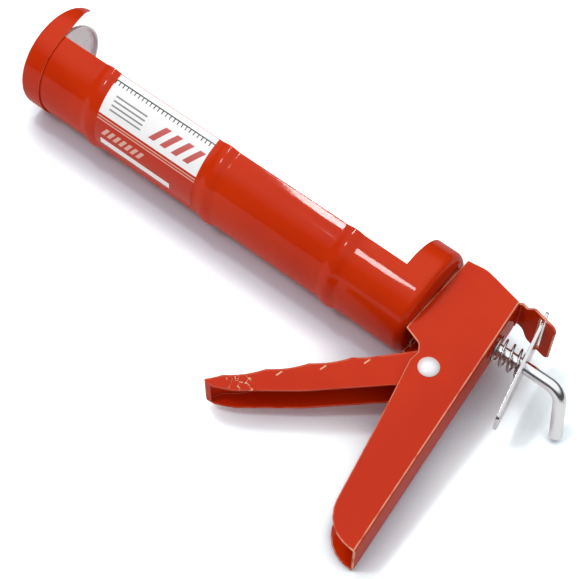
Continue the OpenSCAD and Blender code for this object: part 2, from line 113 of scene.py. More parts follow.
class NodeKit:
    """Short ways to fill one node tree."""

    def __init__(self, tree: bpy.types.NodeTree) -> None:
        """Starts on an empty tree.

        Args:
            tree: The tree to fill; its nodes are removed.
        """
        self.tree = tree
        tree.nodes.clear()

    def add(self, kind: str, inputs: dict | None = None, **settings: object) -> bpy.types.Node:
        """Adds a node.

        Args:
            kind: The node's type name.
            inputs: Socket name or index to a value or to a socket to link from.
            **settings: Properties of the node.

        Returns:
            The new node.
        """
        node = self.tree.nodes.new(kind)
        for key, value in settings.items():
            setattr(node, key, value)
        for key, value in (inputs or {}).items():
            if isinstance(value, Socket):
                self.tree.links.new(value, node.inputs[key])
            else:
                node.inputs[key].default_value = value
        return node

    def math(self, operation: str, *values: float | Socket) -> Socket:
        """Output of a Math node.

        Args:
            operation: The operation's name.
            *values: Numbers or sockets, in order.

        Returns:
            The result's socket.
        """
        return self.add("ShaderNodeMath", dict(enumerate(values)), operation=operation).outputs[0]

    def position(self) -> Socket:
        """Place of the shaded point, in Object coordinates."""
        return self.add("ShaderNodeTexCoord").outputs["Object"]

    def noise(
        self, vector: Socket, scale: float | Socket, detail: float = 2.0, rough: float = 0.5,
    ) -> Socket:
        """Factor output of a noise texture.

        Args:
            vector: Coordinates to sample.
            scale: Features per unit of the coordinates.
            detail: Octaves.
            rough: Weight of the finer octaves.

        Returns:
            The factor's socket.
        """
        inputs = {"Vector": vector, "Scale": scale, "Detail": detail, "Roughness": rough}
        return self.add("ShaderNodeTexNoise", inputs).outputs["Fac"]

    def spread(
        self, value: float | Socket, lo: float, hi: float, to_lo: float = 0.0, to_hi: float = 1.0,
    ) -> Socket:
        """Maps a range of a value smoothly onto another.

        Args:
            value: Number or socket to map.
            lo: Start of the range.
            hi: End of the range.
            to_lo: Result at the start.
            to_hi: Result at the end.

        Returns:
            The result's socket.
        """
        inputs = {"Value": value, 1: lo, 2: hi, 3: to_lo, 4: to_hi}
        return self.add("ShaderNodeMapRange", inputs, interpolation_type="SMOOTHSTEP").outputs[0]

    def mix(self, share: float | Socket, a: Colour | Socket, b: Colour | Socket) -> Socket:
        """Mixes two colours.

        Args:
            share: How much of the second colour, as a number or socket.
            a: First colour or socket.
            b: Second colour or socket.

        Returns:
            The mixed colour's socket.
        """
        a, b = (v if isinstance(v, Socket) else (*v, 1.0) for v in (a, b))
        return self.add("ShaderNodeMix", {0: share, 6: a, 7: b}, data_type="RGBA").outputs[2]

    def place(self, group: bpy.types.NodeTree, **values: float | Socket) -> bpy.types.Node:
        """Places a node group.

        Args:
            group: The group's tree.
            **values: Input name, with underscores for spaces, to value or socket.

        Returns:
            The group node.
        """
        inputs = {key.replace("_", " "): value for key, value in values.items()}
        return self.add("ShaderNodeGroup", inputs, node_tree=group)

    def bump(self, height: Socket) -> Socket:
        """Normals of a surface, from its height in millimetres.

        Args:
            height: The height's socket.

        Returns:
            The normals' socket.
        """
        inputs = {"Strength": 1.0, "Distance": MILLIMETRE, "Height": height}
        return self.add("ShaderNodeBump", inputs).outputs[0]

    def principled(self, inputs: dict) -> None:
        """Ends a material's tree with a Principled shader.

        Args:
            inputs: Socket name to a value or to a socket to link from.
        """
        shader = self.add("ShaderNodeBsdfPrincipled", inputs)
        self.add("ShaderNodeOutputMaterial", {"Surface": shader.outputs[0]})


def shader_group(
    name: str, inputs: dict[str, float], outputs: Iterable[str],
) -> tuple[NodeKit, bpy.types.Node, bpy.types.Node]:
    """An empty shader group with number sockets.

    Args:
        name: The group's name.
        inputs: Input name to default value.
        outputs: Names of the outputs.
    """
    tree = bpy.data.node_groups.new(name, "ShaderNodeTree")
    kind = "NodeSocketFloat"
    for label, value in inputs.items():
        socket = tree.interface.new_socket(name=label, in_out="INPUT", socket_type=kind)
        socket.default_value = value
    for label in outputs:
        tree.interface.new_socket(name=label, in_out="OUTPUT", socket_type=kind)
    kit = NodeKit(tree)
    return kit, kit.add("NodeGroupInput"), kit.add("NodeGroupOutput")


def sheet_group() -> bpy.types.NodeTree:
    """Group for the skin of pressed sheet: long waves of the metal and the peel of its coat.

    Returns:
        The group's tree, with outputs Height in millimetres and Tone.
    """
    inputs = {"Wave": 0.05, "Wave Scale": 30.0, "Peel": 0.004, "Peel Scale": 420.0}
    kit, source, sink = shader_group("sheet_skin", inputs, ["Height", "Tone"])
    place = kit.position()
    wave = kit.noise(place, source.outputs["Wave Scale"], detail=1.0)
    peel = kit.noise(place, source.outputs["Peel Scale"])
    waves = kit.math("MULTIPLY", wave, source.outputs["Wave"])
    height = kit.math("MULTIPLY_ADD", peel, source.outputs["Peel"], waves)
    kit.tree.links.new(height, sink.inputs["Height"])
    tone = kit.noise(place, 14.0, detail=3.0, rough=0.6)
    kit.tree.links.new(kit.spread(tone, 0.3, 0.7), sink.inputs["Tone"])
    return kit.tree


def rim_group() -> bpy.types.NodeTree:
    """Group for a painted highlight on the rounded edges, read from their rim attribute, in noisy
    patches.

    Returns:
        The group's tree, with output Mask.
    """
    inputs = {"Amount": 1.0, "Patch Scale": 160.0}
    kit, source, sink = shader_group("rim_highlight", inputs, ["Mask"])
    rim = kit.add("ShaderNodeAttribute", attribute_name="rim").outputs["Fac"]
    patch = kit.noise(kit.position(), source.outputs["Patch Scale"], detail=3.0)
    # Painted highlight: the rim share, broken into patches by noise.
    mask = kit.math("MULTIPLY", rim, kit.spread(patch, 0.26, 0.56))
    kit.tree.links.new(kit.math("MULTIPLY", mask, source.outputs["Amount"]), sink.inputs["Mask"])
    return kit.tree


def smudge_group() -> bpy.types.NodeTree:
    """Group for faint smudges and specks that change a surface's gloss.

    Returns:
        The group's tree, with outputs Rough and Speck.
    """
    inputs = {"Rough": 0.2, "Change": 0.06}
    kit, source, sink = shader_group("smudges", inputs, ["Rough", "Speck"])
    place = kit.position()
    patches = kit.spread(kit.noise(place, 45.0, detail=4.0, rough=0.6), 0.35, 0.7)
    rough = kit.math("MULTIPLY_ADD", patches, source.outputs["Change"], source.outputs["Rough"])
    kit.tree.links.new(rough, sink.inputs["Rough"])
    specks = kit.spread(kit.noise(place, 900.0, detail=1.0), 0.74, 0.8)
    kit.tree.links.new(specks, sink.inputs["Speck"])
    return kit.tree


@dataclass
class Effects:
    """The shared shader groups, each built once."""

    sheet: bpy.types.NodeTree = field(default_factory=sheet_group)
    rim: bpy.types.NodeTree = field(default_factory=rim_group)
    smudge: bpy.types.NodeTree = field(default_factory=smudge_group)


def blank_material(name: str) -> tuple[Material, NodeKit]:
    """A material with an empty tree.

    Args:
        name: The material's name.
    """
    material = bpy.data.materials.new(name)
    material.use_nodes = True
    return material, NodeKit(material.node_tree)


# ---------- finishes ----------


@dataclass(frozen=True)
class GlossEnamel:
    """Orange-red enamel sprayed on pressed sheet."""

    name: str = "gloss_enamel"
    body: Colour = (0.615, 0.0340, 0.0026)
    deep: Colour = (0.540, 0.0240, 0.0018)
    # Pale tint of the painted highlight on the rims and creases.
    highlight_tint: Colour = (0.950, 0.520, 0.330)
    # Share of the painted rim highlight.
    rim_shine: float = 0.85
    rough: float = 0.42
    smudged: float = 0.08
    specular: float = 0.0
    coat: float = 0.36
    coat_rough: float = 0.06
    wave: float = 0.09
    peel: float = 0.005

    def relief(self, kit: NodeKit, skin: bpy.types.Node) -> Socket:
        """Height of the surface, in millimetres.

        Args:
            kit: The material's kit; not used here.
            skin: The placed sheet_skin group.

        Returns:
            The height's socket.
        """
        return skin.outputs["Height"]

    def painted_highlight(self, kit: NodeKit, rim_light: bpy.types.Node) -> Socket:
        """Where a painted highlight lightens the enamel's rounded rims.

        Args:
            kit: The material's kit; not used here.
            rim_light: The placed rim_highlight group.

        Returns:
            The mask's socket.
        """
        return rim_light.outputs["Mask"]

    def dress(self, effects: Effects) -> Material:
        """Builds the material.

        Args:
            effects: The shared groups.

        Returns:
            The material.
        """
        material, kit = blank_material(self.name)
        skin = kit.place(effects.sheet, Wave=self.wave, Peel=self.peel)
        rim_light = kit.place(effects.rim, Amount=self.rim_shine)
        smudge = kit.place(effects.smudge, Rough=self.rough, Change=self.smudged)
        colour = kit.mix(skin.outputs["Tone"], self.body, self.deep)
        # Painted highlight: rims and creases are lightened towards the pale tint.
        colour = kit.mix(self.painted_highlight(kit, rim_light), colour, self.highlight_tint)
        bump = kit.bump(self.relief(kit, skin))
        kit.principled({
            "Base Color": colour,
            "Roughness": smudge.outputs["Rough"],
            "Normal": bump,
            "Specular IOR Level": self.specular,
            "Coat Weight": self.coat,
            "Coat Roughness": self.coat_rough,
            "Coat Normal": bump,
        })
        return material


@dataclass(frozen=True)
class CreasedEnamel(GlossEnamel):
    """The same enamel on the trigger, whose press left creases on its sides; the creases carry
    painted glints.

    Sizes are in millimetres on the trigger, whose x runs along it from the pivot, negative
    towards the tip, and whose y points to the finger side.
    """

    name: str = "creased_enamel"
    rim_shine: float = 0.15
    first_x: float = -25.2
    last_x: float = -72.0
    pitch: float = 19.2
    middle_y: float = 8.0
    half_length: float = 1.3
    half_width: float = 0.75
    side_z: Span = (8.0, 8.5)
    slant_deg: float = 28.0
    rise: float = 0.25
    near_fade: Span = (3.5, 5.0)
    far_fade: float = 1.0
    crumple_x: Span = (-89.0, -73.0)
    crumple_fade: float = 5.0
    crumple_scale: float = 0.22
    crumple_width: float = 0.035
    glint_from: Span = (0.35, 0.7)
    glint_most: float = 0.85

    def strokes(self, kit: NodeKit, x: Socket, y: Socket) -> Socket:
        """Slanted strokes, one under each finger crest, fading to 0 away from them.

        Args:
            kit: The material's kit.
            x: Place along the trigger.
            y: Place across it.

        Returns:
            The mask's socket.
        """
        half_pitch = self.pitch / 2
        along = kit.math("WRAP", kit.math("SUBTRACT", x, self.first_x), half_pitch, -half_pitch)
        across = kit.math("SUBTRACT", y, self.middle_y)
        slant = math.radians(self.slant_deg)
        c, s = math.cos(slant), math.sin(slant)
        u = kit.math("MULTIPLY_ADD", along, c, kit.math("MULTIPLY", across, s))
        v = kit.math("MULTIPLY_ADD", across, c, kit.math("MULTIPLY", along, -s))
        beyond = kit.math("SUBTRACT", kit.math("ABSOLUTE", u), self.half_length)
        end = kit.math("MAXIMUM", beyond, 0.0)
        squares = kit.math("ADD", kit.math("MULTIPLY", end, end), kit.math("MULTIPLY", v, v))
        away = kit.spread(kit.math("SQRT", squares), 0.0, self.half_width)
        starts, ends = (self.first_x + fade for fade in self.near_fade)
        near = kit.spread(x, starts, ends, 1.0, 0.0)
        far = kit.spread(x, self.last_x - self.far_fade, self.last_x)
        row = kit.math("MULTIPLY", near, far)
        return kit.math("MULTIPLY", kit.math("SUBTRACT", 1.0, away), row)

    def crumples(self, kit: NodeKit, place: Socket, x: Socket) -> Socket:
        """Fine folds of the crumpled stretch near the tip.

        Args:
            kit: The material's kit.
            place: Place on the trigger.
            x: Place along it.

        Returns:
            The mask's socket.
        """
        grain = kit.noise(place, self.crumple_scale, rough=0.6)
        middle = kit.math("ABSOLUTE", kit.math("SUBTRACT", grain, 0.5))
        folds = kit.spread(middle, 0.0, self.crumple_width, 1.0, 0.0)
        lo, hi = self.crumple_x
        far = kit.spread(x, lo, lo + self.crumple_fade)
        near = kit.spread(x, hi - self.crumple_fade, hi, 1.0, 0.0)
        return kit.math("MULTIPLY", folds, kit.math("MULTIPLY", far, near))

    def ridge(self, kit: NodeKit) -> Socket:
        """Strokes and crumples on the two sides, and nothing on the spine.

        Args:
            kit: The material's kit.

        Returns:
            The mask's socket.
        """
        seat = LAID @ Matrix.Translation(PIVOT) @ Matrix.Rotation(TRIGGER_TURN, 4, "Z")
        inputs = {
            "Vector": kit.position(),
            "Location": seat.to_translation(),
            "Rotation": seat.to_euler("XYZ"),
            "Scale": seat.to_scale(),
        }
        place = kit.add("ShaderNodeMapping", inputs, vector_type="TEXTURE").outputs[0]
        x, y, z = kit.add("ShaderNodeSeparateXYZ", {0: place}).outputs
        marks = kit.math("MAXIMUM", self.strokes(kit, x, y), self.crumples(kit, place, x))
        return kit.math("MULTIPLY", marks, kit.spread(kit.math("ABSOLUTE", z), *self.side_z))

    def relief(self, kit: NodeKit, skin: bpy.types.Node) -> Socket:
        """Height of the surface with the creases, in millimetres.

        Args:
            kit: The material's kit.
            skin: The placed sheet_skin group.

        Returns:
            The height's socket.
        """
        return kit.math("MULTIPLY_ADD", self.ridge(kit), self.rise, skin.outputs["Height"])

    def painted_highlight(self, kit: NodeKit, rim_light: bpy.types.Node) -> Socket:
        """Where a painted highlight lightens the enamel: the rims a little, the creases more, as
        glints.

        Args:
            kit: The material's kit.
            rim_light: The placed rim_highlight group.

        Returns:
            The mask's socket.
        """
        # Painted glints: the crease and crumple mask lightens them towards the pale tint.
        crest = kit.spread(self.ridge(kit), *self.glint_from, 0.0, self.glint_most)
        return kit.math("MAXIMUM", crest, rim_light.outputs["Mask"])


@dataclass(frozen=True)
class BrightZinc:
    """Steel with a bright zinc plating."""

    name: str = "bright_zinc"
    tint: Colour = (0.80, 0.81, 0.83)
    shade: Colour = (0.60, 0.61, 0.63)
    # Pale grey of the painted highlight on the rounded rims.
    edge_highlight: Colour = (0.9, 0.9, 0.9)
    speck: Colour = (0.25, 0.24, 0.24)
    rim_shine: float = 0.6
    rough: float = 0.16
    smudged: float = 0.14
    metal: float = 1.0
    wave: float = 0.02
    wave_scale: float = 90.0
    peel: float = 0.004
    peel_scale: float = 700.0

    def dress(self, effects: Effects) -> Material:
        """Builds the material.

        Args:
            effects: The shared groups.

        Returns:
            The material.
        """
        material, kit = blank_material(self.name)
        skin = kit.place(
            effects.sheet, Wave=self.wave, Wave_Scale=self.wave_scale,
            Peel=self.peel, Peel_Scale=self.peel_scale,
        )
        smudge = kit.place(effects.smudge, Rough=self.rough, Change=self.smudged)
        rim_light = kit.place(effects.rim, Amount=self.rim_shine)
        colour = kit.mix(skin.outputs["Tone"], self.tint, self.shade)
        # Painted highlight: the rounded rims are lightened towards the pale grey.
        colour = kit.mix(rim_light.outputs["Mask"], colour, self.edge_highlight)
        colour = kit.mix(smudge.outputs["Speck"], colour, self.speck)
        kit.principled({
            "Base Color": colour,
            "Metallic": self.metal,
            "Roughness": smudge.outputs["Rough"],
            "Normal": kit.bump(skin.outputs["Height"]),
        })
        return material


class Ink(Enum):
    """The film's printing inks."""

    WHITE = (0.97, 0.97, 0.97)
    RED = (0.56, 0.030, 0.006)
    ROSE = (0.60, 0.13, 0.12)
    BLACK = (0.035, 0.032, 0.036)
    GREY = (0.30, 0.30, 0.31)
    PALE = (0.80, 0.46, 0.38)


class Run(Enum):
    """The ways in which the print is measured, each in shares of the film."""

    ALONG = "along"
    ROUND = "round"
    SLANTED = "slanted"


@dataclass(frozen=True)
class Patch:
    """A printed patch: its ink, the stretches that bound it and the bars that fill it.

    The bars are the way that they repeat in, their pitch, and the share of it that a bar fills.
    """

    ink: Ink
    bounds: dict[Run, Span]
    bars: tuple[Run, float, float] | None = None


@dataclass(frozen=True)
class PrintedFilm:
    """Glossy film with plain printed bands: white above, red below, with bars and fine lines."""

    name: str = "printed_film"
    rough: float = 0.28
    smudged: float = 0.1
    specular: float = 0.25
    wave: float = 0.05
    peel: float = 0.002
    slant: float = 0.45
    patches: tuple[Patch, ...] = (
        Patch(Ink.BLACK, {Run.ROUND: (0.075, 0.090)}),
        Patch(Ink.BLACK, {Run.ROUND: (0.090, 0.135)}, (Run.ALONG, 0.04, 0.22)),
        Patch(
            Ink.GREY, {Run.ROUND: (0.24, 0.46), Run.ALONG: (0.08, 0.40)}, (Run.ROUND, 0.06, 0.35),
        ),
        Patch(
            Ink.ROSE, {Run.ROUND: (0.23, 0.45), Run.SLANTED: (0.68, 1.10)},
            (Run.SLANTED, 0.115, 0.5),
        ),
        Patch(Ink.RED, {Run.ROUND: (0.53, 2.0)}),
        Patch(Ink.PALE, {Run.ROUND: (0.56, 0.625)}, (Run.ROUND, 0.035, 0.4)),
        Patch(
            Ink.PALE, {Run.ROUND: (0.68, 0.79), Run.SLANTED: (0.42, 0.84)},
            (Run.SLANTED, 0.06, 0.6),
        ),
        Patch(Ink.WHITE, {Run.ROUND: (0.86, 0.95), Run.ALONG: (0.06, 0.78)}),
    )

    @staticmethod
    def band(kit: NodeKit, value: Socket, lo: float, hi: float) -> Socket:
        """1 where a value lies between two numbers.

        Args:
            kit: The material's kit.
            value: Socket to test.
            lo: Lower number.
            hi: Higher number.

        Returns:
            The mask's socket.
        """
        above = kit.math("GREATER_THAN", value, lo)
        return kit.math("MULTIPLY", above, kit.math("LESS_THAN", value, hi))

    @staticmethod
    def bars(kit: NodeKit, value: Socket, pitch: float, share: float) -> Socket:
        """1 on a share of every pitch of a value.

        Args:
            kit: The material's kit.
            value: Socket that the bars repeat along.
            pitch: Distance between two bars.
            share: Part of the pitch that a bar fills.

        Returns:
            The mask's socket.
        """
        return kit.math("LESS_THAN", kit.math("FRACT", kit.math("DIVIDE", value, pitch)), share)

    def artwork(self, kit: NodeKit) -> Socket:
        """Colours of the print, each patch over the ones before it.

        Args:
            kit: The material's kit.

        Returns:
            The colour's socket.
        """
        film = kit.add("ShaderNodeUVMap", uv_map="film").outputs[0]
        along, around, _ = kit.add("ShaderNodeSeparateXYZ", {0: film}).outputs
        slanted = kit.math("MULTIPLY_ADD", around, self.slant, along)
        ways = {Run.ALONG: along, Run.ROUND: around, Run.SLANTED: slanted}
        colour = Ink.WHITE.value
        for patch in self.patches:
            parts = [self.band(kit, ways[run], *span) for run, span in patch.bounds.items()]
            if patch.bars:
                run, pitch, share = patch.bars
                parts.append(self.bars(kit, ways[run], pitch, share))
            mask, *others = parts
            for other in others:
                mask = kit.math("MULTIPLY", mask, other)
            colour = kit.mix(mask, colour, patch.ink.value)
        return colour

    def dress(self, effects: Effects) -> Material:
        """Builds the material.

        Args:
            effects: The shared groups.

        Returns:
            The material.
        """
        material, kit = blank_material(self.name)
        colour = self.artwork(kit)
        smudge = kit.place(effects.smudge, Rough=self.rough, Change=self.smudged)
        skin = kit.place(effects.sheet, Wave=self.wave, Peel=self.peel)
        kit.principled({
            "Base Color": colour,
            "Roughness": smudge.outputs["Rough"],
            "Specular IOR Level": self.specular,
            "Normal": kit.bump(skin.outputs["Height"]),
        })
        return material


@dataclass
class Finishes:
    """The gun's finishes, each built once."""

    effects: Effects = field(default_factory=Effects)
    enamel: Material = field(init=False)
    creased: Material = field(init=False)
    zinc: Material = field(init=False)
    rod: Material = field(init=False)
    satin: Material = field(init=False)
    wire: Material = field(init=False)
    film: Material = field(init=False)

    def __post_init__(self) -> None:
        """Builds the materials."""
        self.enamel = GlossEnamel().dress(self.effects)
        self.creased = CreasedEnamel().dress(self.effects)
        self.zinc = BrightZinc().dress(self.effects)
        self.rod = BrightZinc(
            name="rod_zinc", rough=0.12, tint=(0.85, 0.86, 0.87), shade=(0.72, 0.73, 0.75),
        ).dress(self.effects)
        self.satin = BrightZinc(
            name="satin_zinc", rough=0.40, metal=0.3,
            tint=(0.97, 0.97, 0.98), shade=(0.90, 0.90, 0.93),
        ).dress(self.effects)
        self.wire = BrightZinc(
            name="spring_wire", rough=0.22, tint=(0.62, 0.62, 0.63), shade=(0.42, 0.42, 0.43),
        ).dress(self.effects)
        self.film = PrintedFilm().dress(self.effects)


# ---------- mesh helpers ----------


def cad_copy(node: str, merge: float = 0.003, flat_deg: float = 0.4) -> BMesh:
    """A CAD node's mesh in the gun's frame, merged and with its flat faces whole.

    Args:
        node: The node's name.
        merge: Points nearer than this, in millimetres, become one.
        flat_deg: Faces that turn by less than this, in degrees, become one.

    Returns:
        The new bmesh, in millimetres.
    """
    bm = bmesh.new()
    bm.from_mesh(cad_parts[node].data)
    bmesh.ops.transform(bm, matrix=LAID.inverted(), verts=bm.verts)
    bmesh.ops.remove_doubles(bm, verts=bm.verts, dist=merge)
    bmesh.ops.dissolve_limit(
        bm, angle_limit=math.radians(flat_deg), verts=bm.verts, edges=bm.edges,
    )
    return bm


def soften(
    bm: BMesh, radius: float, segments: int = 3, angle: float = 35.0,
    pick: Callable[[Edge], bool] | None = None, mark: float = 1.0,
) -> None:
    """Rounds the sharp edges and marks the new faces as rim, where the finishes paint a
    highlight.

    Args:
        bm: The mesh to change.
        radius: Offset of the rounding in millimetres.
        segments: Faces across the rounding.
        angle: Edges whose faces turn by more than this, in degrees, are sharp.
        pick: Test that an edge has to pass as well.
        mark: How strongly the new faces count as rim, and so how bright their painted highlight
            is.
    """
    limit = math.radians(angle)
    rim = bm.faces.layers.float.get("rim") or bm.faces.layers.float.new("rim")
    sharp = [e for e in bm.edges if e.is_manifold and e.calc_face_angle() > limit]
    rounded = bmesh.ops.bevel(
        bm, geom=[e for e in sharp if pick is None or pick(e)], offset=radius,
        offset_type="OFFSET", segments=segments, profile=0.5, affect="EDGES",
        clamp_overlap=False, material=-1,
    )
    # The rim value sets the strength of the painted highlight on these faces.
    for face in rounded["faces"]:
        face[rim] = mark


def finish_piece(
    name: str, bm: BMesh, body: Body, material: Material,
    nodes: Iterable[str], smooth: float = 40.0,
) -> bpy.types.Object:
    """Lays a modelled piece down, shades it and ties it to its body.

    Args:
        name: Name of the piece.
        bm: Its mesh in the gun's frame; it is freed.
        body: Body it rides on.
        material: Its material.
        nodes: CAD nodes it stands for.
        smooth: Edges that turn by less than this, in degrees, are shaded smooth.

    Returns:
        The finished object.
    """
    bmesh.ops.transform(bm, matrix=LAID, verts=bm.verts)
    for face in bm.faces:
        face.smooth = True
    mesh = bpy.data.meshes.new(name)
    bm.to_mesh(mesh)
    bm.free()
    mesh.set_sharp_from_angle(angle=math.radians(smooth))
    mesh.materials.append(material)
    piece = bpy.data.objects.new(name, mesh)
    bpy.context.scene.collection.objects.link(piece)
    weight = piece.modifiers.new("weighted", "WEIGHTED_NORMAL")
    weight.keep_sharp = True
    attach(piece, body.value)
    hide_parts(*nodes)
    LOG.info("%s: %d faces, rides on %s", name, len(mesh.polygons), body.value)
    return piece


def spin_profile(
    bm: BMesh, points: Iterable[Span], start: float, angle: float, steps: int,
) -> None:
    """Turns a profile about the rod's axis.

    Args:
        bm: The mesh to add to.
        points: Profile as (x, radius).
        start: Angle of the profile from y towards z, in degrees.
        angle: Angle to sweep, in degrees.
        steps: Number of steps.
    """
    turn = Matrix.Rotation(math.radians(start), 3, "X")
    verts = [bm.verts.new(turn @ Vector((x, r, 0))) for x, r in points]
    edges = [bm.edges.new(pair) for pair in zip(verts, verts[1:])]
    bmesh.ops.spin(
        bm, geom=verts + edges, cent=(0, 0, 0), axis=(1, 0, 0), angle=math.radians(angle),
        steps=steps, use_merge=False, use_duplicate=False,
    )


def turn_outward(bm: BMesh) -> None:
    """Makes the faces of an open shell round the rod's axis point away from it.

    Args:
        bm: The mesh to change.
    """
    bmesh.ops.recalc_face_normals(bm, faces=bm.faces)
    first = next(iter(bm.faces))
    if first.normal.yz.dot(first.calc_center_median().yz) < 0:
        bmesh.ops.reverse_faces(bm, faces=bm.faces)


def degrees_round(vert: bmesh.types.BMVert) -> float:
    """Angle of a point about the rod's axis, from y towards z, from 0 to 360."""
    return math.degrees(math.atan2(vert.co.z, vert.co.y)) % 360


# ---------- barrel ----------


@dataclass
class Barrel:
    """The cradle trough, its two cups and the film on it."""

    front_x: float = 2.0
    rear_x: float = 214.5
    outer_r: float = 26.0
    sheet_t: float = 0.8
    edge_deg: float = 97.5
    round_steps: int = 72
    beads: tuple[float, ...] = (43.5, 115.25, 187.0)
    bead_h: float = 1.2
    bead_half: float = 5.4
    bead_rows: int = 7
    row_gap: float = 6.0
    flat_deg: float = 104.5
    flat_fade: Span = (25.0, 12.0)
    film_x: float = 48.2
    film_len: float = 60.0
    film_deg: Span = (98.3, 185.0)
    film_t: float = 0.12
    film_gap: float = 0.02
    film_grid: tuple[int, int] = (20, 40)
    edge: float = 0.22
    seam_reach: float = 0.05
    # Shares of the painted rim highlight on the trough and on the cups.
    trough_highlight: float = 0.3
    cup_highlight: float = 0.2

    def bead_rise(self, x: float) -> float:
        """Height of the beads at a distance along the barrel.

        Args:
            x: The distance.

        Returns:
            The height above the plain trough.
        """
        rise = 0.0
        for bead in self.beads:
            u = (x - bead) / self.bead_half
            rise += self.bead_h * (1 - u * u) ** 2 if abs(u) < 1 else 0.0
        return rise

    def stations(self) -> list[float]:
        """Distances along the barrel where the profile has a point.

        Returns:
            The distances in order, close together on the beads.
        """
        marks = {self.front_x, self.rear_x}
        rows = range(-self.bead_rows, self.bead_rows + 1)
        for bead in self.beads:
            marks.update(bead + self.bead_half * i / self.bead_rows for i in rows)
        ordered = sorted(marks)
        for a, b in zip(ordered, ordered[1:]):
            count = int((b - a) / self.row_gap)
            marks.update(a + (b - a) * i / (count + 1) for i in range(1, count + 1))
        return sorted(marks)

    def flattened(self, bm: BMesh) -> None:
        """Presses the sheet flat along the upper long edge, fading out towards both ends.

        Args:
            bm: The mesh to change.
        """
        front_fade, rear_fade = self.flat_fade
        for vert in bm.verts:
            from_front = (vert.co.x - self.front_x) / front_fade
            from_rear = (self.rear_x - vert.co.x) / rear_fade
            inward = max(0.0, min(1.0, from_front, from_rear))
            short = max(0.0, self.flat_deg - degrees_round(vert)) * inward
            vert.co.yz = Vector((vert.co.y, vert.co.z)) / math.cos(math.radians(short))

    def off_seam(self, edge: Edge) -> bool:
        """True for an edge away from the filled seam between the trough and the rear cup."""
        return any(abs(v.co.x - self.rear_x) > self.seam_reach for v in edge.verts)

    def cradle(self, finishes: Finishes) -> bpy.types.Object:
        """Builds the trough with its beads.

        Args:
            finishes: The gun's finishes.

        Returns:
            The piece.
        """
        bm = bmesh.new()
        profile = [(x, self.outer_r + self.bead_rise(x)) for x in self.stations()]
        spin_profile(bm, profile, self.edge_deg, 360 - 2 * self.edge_deg, self.round_steps)
        turn_outward(bm)
        self.flattened(bm)
        bmesh.ops.solidify(bm, geom=bm.faces[:], thickness=self.sheet_t)
        soften(bm, self.edge, 2, 60, self.off_seam, self.trough_highlight)
        return finish_piece(
            "cradle_trough", bm, Body.FRAME, finishes.enamel, ["cradle"],
        )

    def film(self, finishes: Finishes) -> bpy.types.Object:
        """Builds the printed film, with a UV map that runs along it (u) and round it (v).

        Args:
            finishes: The gun's finishes.

        Returns:
            The piece.
        """
        bm = bmesh.new()
        radius = self.outer_r + self.film_gap + self.film_t
        lo, hi = self.film_deg
        columns, rows = self.film_grid
        points = [(self.film_x + self.film_len * i / columns, radius) for i in range(columns + 1)]
        spin_profile(bm, points, lo, hi - lo, rows)
        turn_outward(bm)
        film = bm.loops.layers.uv.new("film")
        for loop in (loop for face in bm.faces for loop in face.loops):
            along = (loop.vert.co.x - self.film_x) / self.film_len
            loop[film].uv = (along, (degrees_round(loop.vert) - lo) / (hi - lo))
        self.flattened(bm)
        bmesh.ops.solidify(bm, geom=bm.faces[:], thickness=self.film_t)
        return finish_piece(
            "barrel_film", bm, Body.FRAME, finishes.film, ["label"], smooth=30,
        )

    def cup(self, node: str, finishes: Finishes) -> bpy.types.Object:
        """Builds a cup from its CAD node with rounded edges.

        Args:
            node: The CAD node.
            finishes: The gun's finishes.

        Returns:
            The piece.
        """
        bm = cad_copy(node)
        soften(bm, self.edge, 2, 40, self.off_seam, self.cup_highlight)
        return finish_piece(
            node + "_pressing", bm, Body.FRAME, finishes.enamel, [node],
        )

    def build(self, finishes: Finishes) -> None:
        """Builds the barrel's pieces.

        Args:
            finishes: The gun's finishes.
        """
        self.cradle(finishes)
        self.film(finishes)
        self.cup("front_cup", finishes)
        self.cup("rear_cup", finishes)


# ---------- grip ----------


